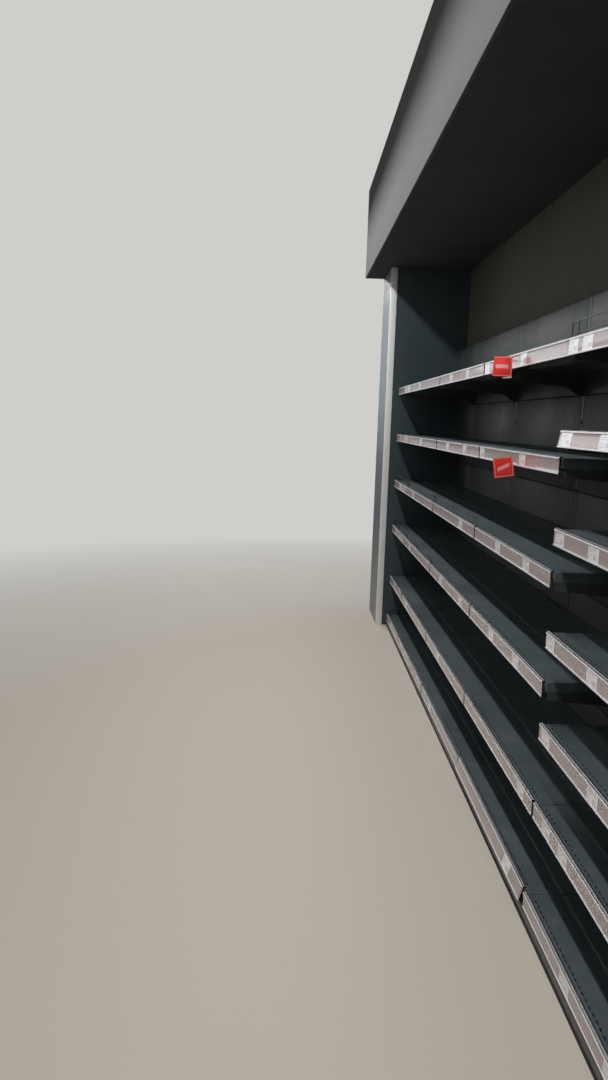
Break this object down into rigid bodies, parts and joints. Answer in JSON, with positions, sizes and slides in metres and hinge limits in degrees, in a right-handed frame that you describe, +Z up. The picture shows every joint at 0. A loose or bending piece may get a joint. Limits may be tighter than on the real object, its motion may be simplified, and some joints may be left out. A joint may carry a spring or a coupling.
{
  "type": "supermarket building wall shelving bay",
  "caption": "Wall alcove between two boxed columns under a boarded bulkhead, fitted with a run of slotted-upright steel shelving, ticket rails and wire fences.",
  "frame": {"origin": "on the floor, at the middle of the whole bay's length and depth", "axes": "+X along the run to the right as a shopper faces it, +Y from the aisle towards the back wall, +Z up"},
  "size_m": [6.705, 0.847, 3.18],
  "materials": {
    "wall_paint": "matt emulsion on the plastered wall",
    "column_paint": "matt dark emulsion",
    "face_panel": "satin pale board with a lighter edge",
    "fascia_paint": "matt pale emulsion",
    "soffit_paint": "matt dark emulsion",
    "zinc": "galvanised, dull",
    "shelf_steel": "graphite powder coat, fine texture",
    "upright_steel": "graphite powder coat, fine texture",
    "kick_steel": "mid grey powder coat, satin",
    "cap_plastic": "moulded, matt",
    "rail_plastic": "extruded, satin",
    "cover_plastic": "clear extruded, glossy",
    "fence_wire": "black powder coat",
    "glide_plastic": "moulded, matt"
  },
  "bodies": {
    "root": {"back_wall": "wall_paint", "left_column": "column_paint", "right_column": "column_paint", "left_column_face_panel": "face_panel", "right_column_face_panel": "face_panel", "fascia_board": "fascia_paint", "soffit_board": "soffit_paint", "bulkhead_end_boards": "fascia_paint", "fascia_tracks": "zinc", "fascia_studs": "zinc", "wall_tracks": "zinc", "soffit_joists": "zinc", "top_joists": "zinc", "uprights": "upright_steel", "upright_caps": "cap_plastic", "wall_ties": "upright_steel", "base_feet": "upright_steel", "levelling_glides": "glide_plastic", "back_panels": "shelf_steel", "kick_plates": "kick_steel", "ticket_covers": "cover_plastic", "wire_fences": "fence_wire", "bay_1_shelves": "shelf_steel", "bay_1_brackets": "upright_steel", "bay_1_ticket_rails": "rail_plastic", "bay_2_shelves": "shelf_steel", "bay_2_brackets": "upright_steel", "bay_2_ticket_rails": "rail_plastic", "bay_3_shelves": "shelf_steel", "bay_3_brackets": "upright_steel", "bay_3_ticket_rails": "rail_plastic", "bay_4_shelves": "shelf_steel", "bay_4_brackets": "upright_steel", "bay_4_ticket_rails": "rail_plastic", "bay_5_shelves": "shelf_steel", "bay_5_brackets": "upright_steel", "bay_5_ticket_rails": "rail_plastic", "bay_6_shelves": "shelf_steel", "bay_6_brackets": "upright_steel", "bay_6_ticket_rails": "rail_plastic"}
  },
  "joints": []
}
